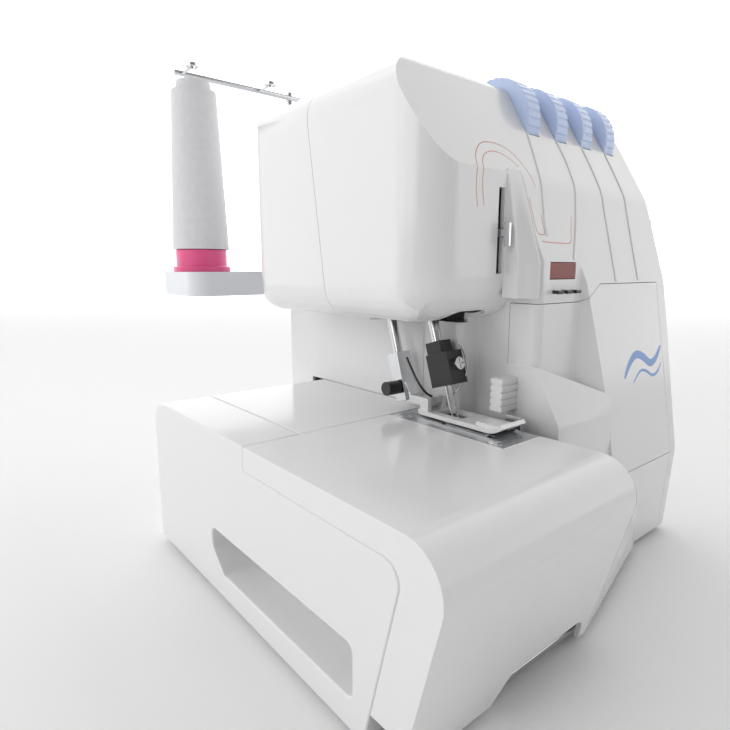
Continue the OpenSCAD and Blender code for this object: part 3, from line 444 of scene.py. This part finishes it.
def wireMesh(name, points, radius, around=12, rounds=3):
    # round wire along a softened path, its rings square to the path
    path = softPath(points, rounds)
    along = np.gradient(path, axis=0)
    along /= np.linalg.norm(along, axis=1)[:, None]
    lean = np.where(np.abs(along[:, :1]) < 0.9, [[1.0, 0.0, 0.0]], [[0.0, 1.0, 0.0]])
    across = np.cross(along, lean)
    across /= np.linalg.norm(across, axis=1)[:, None]
    return bandMesh(name, path, across, np.cross(along, across), radius, radius, around)


def lineOnFront(name, xz, halfWidth, halfHeight, sink=0.0, rounds=4, taper=False):
    # band that lies on the front: its path is (x, frontY, z), its across is square to both
    flat = softPath(xz, rounds)
    x, z = flat.T
    path = np.stack([x, frontY(x, z) + sink, z], 1)
    slope = (frontY(x, z + 0.5) - frontY(x, z - 0.5))
    outward = np.stack([np.zeros_like(x), -np.ones_like(x), slope], 1)
    outward /= np.linalg.norm(outward, axis=1)[:, None]
    along = np.gradient(path, axis=0)
    across = np.cross(along, outward)
    across /= np.linalg.norm(across, axis=1)[:, None]
    share = np.linspace(0, 1, len(x))
    width = halfWidth * (np.sin(math.pi * share) ** 0.6 + 0.02 if taper else np.ones_like(x))
    return bandMesh(name, path, across, outward, width, halfHeight)


def joined(name, meshes):
    # several meshes as one
    work = bmesh.new()
    for mesh in meshes:
        work.from_mesh(mesh)
        bpy.data.meshes.remove(mesh)
    whole = bpy.data.meshes.new(name)
    work.to_mesh(whole)
    work.free()
    return whole


ribs = {   # raised lines that run down from each dial, (x, z)
    "halfWidth": 0.9, "halfHeight": 0.55, "lift": 0.15,
    "paths": [[(1.2, 259), (-3, 245), (-8, 231), (-11.5, 217), (-13.5, 206), (-14, 200)],
              [(30.8, 259), (31.5, 248), (28, 233), (22, 217), (16, 203), (8, 188)],
              [(60.4, 259), (60, 243), (56, 223), (54, 205), (51, 175)],
              [(90, 259), (88.5, 239), (85, 219), (83, 202), (80, 175.5)]],
}
addPiece("panelRibs", joined("panelRibsShape", [
    lineOnFront("rib", path, ribs["halfWidth"], ribs["halfHeight"], -ribs["lift"])
    for path in ribs["paths"]]), "frame", "casing_white")

fairing = {   # raised panel between the lever's slot and the column, in mm; wall is a share
    "left": -36.6, "right": -24.95, "low": 167.0, "high": 234.0, "back": -99.2, "headY": -100.0,
    "wall": 0.6, "columnX": -20.0, "least": 0.02, "columns": 14, "rows": 60, "edge": 0.8,
}


def fairingRings(f):
    # y = headY + (frontY(columnX, z) - headY) * (wall + (1 - wall) * s), s = 3t^2 - 2t^3,
    # t from 0 at the panel's left side to 1 at the column; the last two points close the back
    t = np.linspace(0, 1, f["columns"])
    z = np.linspace(f["low"], f["high"], f["rows"])[:, None]
    step = np.minimum(frontY(f["columnX"], z) - f["headY"], -f["least"])
    share = f["wall"] + (1 - f["wall"]) * (3 * t ** 2 - 2 * t ** 3)[None, :]
    x = np.broadcast_to(f["left"] + (f["right"] - f["left"]) * t, share.shape)
    y = f["headY"] + step * share
    front = np.stack([np.broadcast_to(x, y.shape), y, np.broadcast_to(z, y.shape)], -1)
    back = front[:, [-1, 0]].copy()
    back[:, :, 1] = f["back"]
    return np.concatenate([front, back], 1) * mm


addPiece("leverFairing", ringMesh("leverFairingShape", fairingRings(fairing)), "frame",
         "casing_white", edge=fairing["edge"], segments=3)

printed = {   # thin printed outlines that show the thread's way, (x, z)
    "halfWidth": 0.28, "halfHeight": 0.05, "color": (0.72, 0.30, 0.24),
    "outer": [(-60, 213), (-62, 224), (-60, 237), (-53, 244), (-47, 247), (-37, 248), (-27, 246),
              (-20, 240), (-16.5, 233), (-15.5, 226)],
    "inner": [(-55, 214), (-57, 225), (-56, 234), (-52, 239), (-46, 242), (-39, 243), (-30, 241),
              (-24, 236)],
    "boxLeft": [(-23.4, 220), (-23.4, 210), (-23, 201), (-19, 200.5), (-15.6, 200.5),
                (-15.6, 206), (-15.6, 211)],
    "boxRight": [(-20, 197), (-14, 196.5), (-4, 196.5), (5, 196.5), (9, 197), (11, 203),
                 (15, 212)],
}
linesPiece = addPiece("printedLines", joined("printedLinesShape", [
    lineOnFront(key, printed[key], printed["halfWidth"], printed["halfHeight"])
    for key in ("outer", "inner", "boxLeft", "boxRight")]), "frame", "window_red")
paint(linesPiece, mouldedPlastic("printedRed", printed["color"], (0.66, 0.27, 0.22), 0.5, 900.0,
                                 0.0))

wave = {   # a broad and a thin blue wave on the front cover: centre line (x, z), half width
    "color": (0.22, 0.37, 0.76), "halfHeight": 0.06, "strokes": [
        ([(51, 116), (58, 124), (68, 130), (78, 127), (87, 121), (96, 124), (104.5, 132)], 2.6),
        ([(62, 112), (72, 119), (80, 118), (89, 113), (97, 115), (103.5, 121)], 1.0)],
}
wavePiece = addPiece("coverWave", joined("coverWaveShape", [
    lineOnFront("stroke", path, half, wave["halfHeight"], taper=True)
    for path, half in wave["strokes"]]), "front_cover", "dial_blue")
paint(wavePiece, mouldedPlastic("printedBlue", wave["color"], (0.26, 0.42, 0.80), 0.4, 900.0, 0.0))

gripCore = {"low": (-39.6, -103.9, 104.6), "high": (-24.6, -97.3, 123.4), "edge": 0.4}


def blockMesh(name, low, high):
    # closed box between two corners, in mm
    x, y = [low[0], high[0], high[0], low[0]], [low[1], low[1], high[1], high[1]]
    return ringMesh(name, np.stack([np.stack([x, y, [z] * 4], 1) for z in (low[2], high[2])]) * mm)


addPiece("gripCore", blockMesh("gripCoreShape", gripCore["low"], gripCore["high"]),
         "front_cover", "cover_white", edge=gripCore["edge"])
print("front lines done")


# Wires at the needle and the foot
barTurn = {"foot": (-50.0, -79.0, 98.0), "tilt": 17.5}


def onBar(points):
    # (x, y, z) in the needle bar's frame to the row frame: turned about X by the bar's tilt
    c, s = math.cos(math.radians(barTurn["tilt"])), math.sin(math.radians(barTurn["tilt"]))
    x, y, z = np.array(points, float).T
    return np.stack([x, y * c + z * s, z * c - y * s], 1) + np.array(barTurn["foot"])


clampWire = {"radius": 0.45, "path": [(5.0, -11.6, 41), (6.6, -12.6, 36), (6.8, -12.4, 26),
                                       (5.4, -9.5, 20), (3.4, -4.2, 15), (1.2, -2.4, 13)]}
addPiece("clampThreadWire", wireMesh("clampWireShape", onBar(clampWire["path"]),
                                     clampWire["radius"]), "needle_bar", "bright_steel")
footWire = {"radius": 0.7, "path": [(-7.2, 20.0, 40), (-9.5, 16, 34), (-10.0, 12, 24),
                                     (-8.0, 9.5, 17), (-4.0, 9, 14.5)]}
addPiece("footSpringWire", wireMesh("footWireShape", onBar(footWire["path"]),
                                    footWire["radius"]), "presser_bar", "black_plastic")
print("wires done")


def flatQuad(name, corners):
    # one rectangle through four corners
    mesh = bpy.data.meshes.new(name)
    mesh.from_pydata(corners, [], [tuple(range(len(corners)))])
    made = bpy.data.objects.new(name, mesh)
    bpy.context.scene.collection.objects.link(made)
    return made


studio = {"floorHalf": 6.0, "floorColor": (0.96, 0.96, 0.96), "skyColor": (1.0, 0.99, 0.98),
          "skyPower": 0.25, "wallAway": 3.2, "wallHigh": 5.0, "wallGlow": 0.9}
half = studio["floorHalf"]
floor = flatQuad("studioFloor", [(-half, -half, 0), (half, -half, 0), (half, half, 0),
                                 (-half, half, 0)])
floorFinish = Finish("studioPaper", studio["floorColor"], 0.9)
floor.data.materials.append(floorFinish.material)
away, high = studio["wallAway"], studio["wallHigh"]
wall = flatQuad("studioWall", [(-half, away, 0), (away, away, 0), (away, away, high),
                               (-half, away, high)])
side = flatQuad("studioSide", [(away, away, 0), (away, -half, 0), (away, -half, high),
                               (away, away, high)])
wallFinish = Finish("studioGlow", studio["floorColor"], 0.9, Emission_Strength=studio["wallGlow"],
                    Emission_Color=(1.0, 1.0, 1.0, 1.0))
wall.data.materials.append(wallFinish.material)
side.data.materials.append(wallFinish.material)

world = bpy.data.worlds.new("studioSky")
world.use_nodes = True
world.node_tree.nodes["Background"].inputs[0].default_value = (*studio["skyColor"], 1)
world.node_tree.nodes["Background"].inputs[1].default_value = studio["skyPower"]
bpy.context.scene.world = world

lamps = {   # name: (place, target, width, height, watts)
    "leftPanel": ((-1.5, 0.0, 0.75), (-0.05, 0.0, 0.15), 1.4, 1.0, 7.6),
    "frontPanel": ((0.35, -1.6, 0.8), (0.05, 0.0, 0.15), 0.9, 0.7, 0.06),
    "topPanel": ((-0.3, 0.3, 1.6), (0.0, 0.0, 0.0), 1.5, 1.5, 3.1),
}


def aim(made, place, target):
    # turns -Z of a lamp or camera from place towards target
    made.location = place
    made.rotation_euler = (Vector(target) - Vector(place)).to_track_quat("-Z", "Y").to_euler()


for name, (place, target, width, height, watts) in lamps.items():
    data = bpy.data.lights.new(name, "AREA")
    data.shape, data.size, data.size_y, data.energy = "RECTANGLE", width, height, watts
    made = bpy.data.objects.new(name, data)
    bpy.context.scene.collection.objects.link(made)
    aim(made, place, target)

cameraSettings = {"place": (-0.2812, -0.2819, 0.182), "turn": (80.1, 0.0, -39.3),
                  "lens": 26.9}
lens = bpy.data.cameras.new("view")
lens.lens, lens.sensor_width = cameraSettings["lens"], 36.0
lens.clip_start, lens.clip_end = 0.01, 50.0
camera = bpy.data.objects.new("view", lens)
camera.location = cameraSettings["place"]
camera.rotation_euler = [math.radians(angle) for angle in cameraSettings["turn"]]
bpy.context.scene.collection.objects.link(camera)
bpy.context.scene.camera = camera
bpy.context.scene.view_settings.view_transform = "Standard"
print("studio ready")
